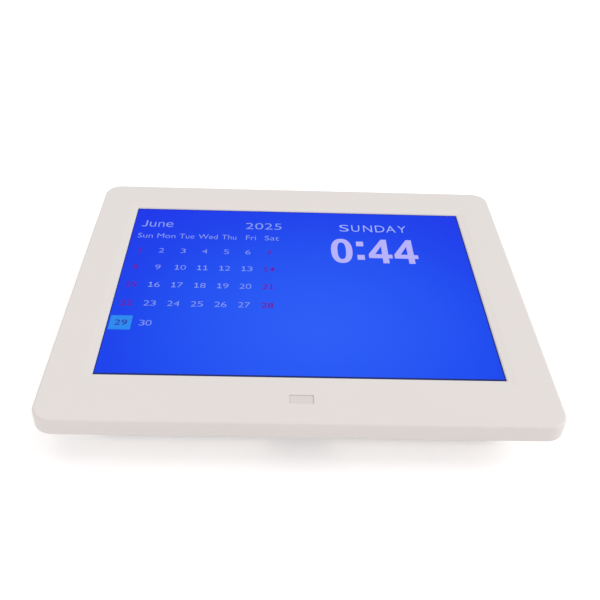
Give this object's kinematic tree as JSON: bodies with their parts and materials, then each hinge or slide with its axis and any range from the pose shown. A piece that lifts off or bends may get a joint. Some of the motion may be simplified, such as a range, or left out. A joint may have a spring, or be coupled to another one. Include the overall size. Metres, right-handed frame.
{
  "type": "dementia day clock",
  "caption": "Off-white day clock: blue calendar display in a slim round-cornered frame, infrared window below it, and behind it a moulded hump with a folding leg, keys, sockets and keyholes.",
  "frame": {"origin": "middle of the case's outline, on the surface that the four rubber feet stand on as the clock lies on its back", "axes": "+X to the viewer's right along the width, +Y up the screen, +Z out of the screen"},
  "size_m": [0.2, 0.1694, 0.021],
  "materials": {
    "white_shell": "satin moulded ABS, off-white",
    "key_plastic": "satin moulded ABS",
    "window_plastic": "smooth, lets infrared through",
    "black_foam": "closed-cell foam",
    "steel": "stamped and plated",
    "screen": "anti-glare, lit blue from behind",
    "light_guide": "clear acrylic with white reflector",
    "circuit_board": "green solder mask",
    "black_plastic": "moulded nylon",
    "grey_cable": "PVC",
    "amber_cable": "polyimide film",
    "red_wire": "PVC",
    "aluminium_can": "bright can",
    "cell_steel": "plated steel can",
    "cream_plastic": "moulded nylon",
    "plated_brass": "nickel plated",
    "speaker_paper": "pressed cone",
    "grey_rubber": "moulded rubber"
  },
  "bodies": {
    "case": {"front_bezel": "white_shell", "rear_cover": "white_shell", "ir_window": "window_plastic", "screen_gasket": "black_foam", "lcd_frame": "steel", "lcd_glass": "screen", "lcd_backlight": "light_guide", "lcd_back_plate": "steel", "lcd_brackets": "steel", "bracket_screws": "steel", "ir_board": "circuit_board", "ir_receiver": "black_plastic", "ir_screws": "steel", "ir_cable": "grey_cable", "main_board": "circuit_board", "board_chips": "black_plastic", "board_capacitors": "aluminium_can", "power_inductor": "black_plastic", "cell_holder": "black_plastic", "coin_cell": "cell_steel", "cable_connectors": "cream_plastic", "board_screws": "steel", "lcd_cable": "amber_cable", "key_cable": "grey_cable", "dc_jack": "black_plastic", "dc_jack_pin": "plated_brass", "usb_shell": "steel", "usb_tongue": "black_plastic", "sd_socket": "steel", "speaker_frame": "steel", "speaker_cone": "speaker_paper", "speaker_wires": "red_wire", "key_board": "circuit_board", "key_switches": "black_plastic", "key_board_screws": "steel", "case_screws": "steel", "rubber_feet": "grey_rubber", "hinge_pin": "steel", "hinge_washers": "steel"},
    "stand": {"stand_leg": "white_shell", "stand_tip_pad": "grey_rubber"},
    "power_key": {"power_key": "key_plastic"},
    "menu_key": {"menu_key": "key_plastic"},
    "up_key": {"up_key": "key_plastic"},
    "left_key": {"left_key": "key_plastic"},
    "right_key": {"right_key": "key_plastic"},
    "down_key": {"down_key": "key_plastic"},
    "exit_key": {"exit_key": "key_plastic"}
  },
  "joints": [
    {"name": "stand_hinge", "type": "hinge", "parent": "case", "child": "stand", "pos_m": [0, 0.048, 0.0045], "axis": [1, 0, 0], "range_deg": [0, 35]},
    {"name": "power_key_press", "type": "slide", "parent": "case", "child": "power_key", "axis": [0, 0, 1], "range_m": [0, 0.0005], "stiffness_N_per_m": 300, "springref_m": -0.001},
    {"name": "menu_key_press", "type": "slide", "parent": "case", "child": "menu_key", "axis": [0, 0, 1], "range_m": [0, 0.0005], "stiffness_N_per_m": 300, "springref_m": -0.001},
    {"name": "up_key_press", "type": "slide", "parent": "case", "child": "up_key", "axis": [0, 0, 1], "range_m": [0, 0.0005], "stiffness_N_per_m": 300, "springref_m": -0.001},
    {"name": "left_key_press", "type": "slide", "parent": "case", "child": "left_key", "axis": [0, 0, 1], "range_m": [0, 0.0005], "stiffness_N_per_m": 300, "springref_m": -0.001},
    {"name": "right_key_press", "type": "slide", "parent": "case", "child": "right_key", "axis": [0, 0, 1], "range_m": [0, 0.0005], "stiffness_N_per_m": 300, "springref_m": -0.001},
    {"name": "down_key_press", "type": "slide", "parent": "case", "child": "down_key", "axis": [0, 0, 1], "range_m": [0, 0.0005], "stiffness_N_per_m": 300, "springref_m": -0.001},
    {"name": "exit_key_press", "type": "slide", "parent": "case", "child": "exit_key", "axis": [0, 0, 1], "range_m": [0, 0.0005], "stiffness_N_per_m": 300, "springref_m": -0.001}
  ]
}
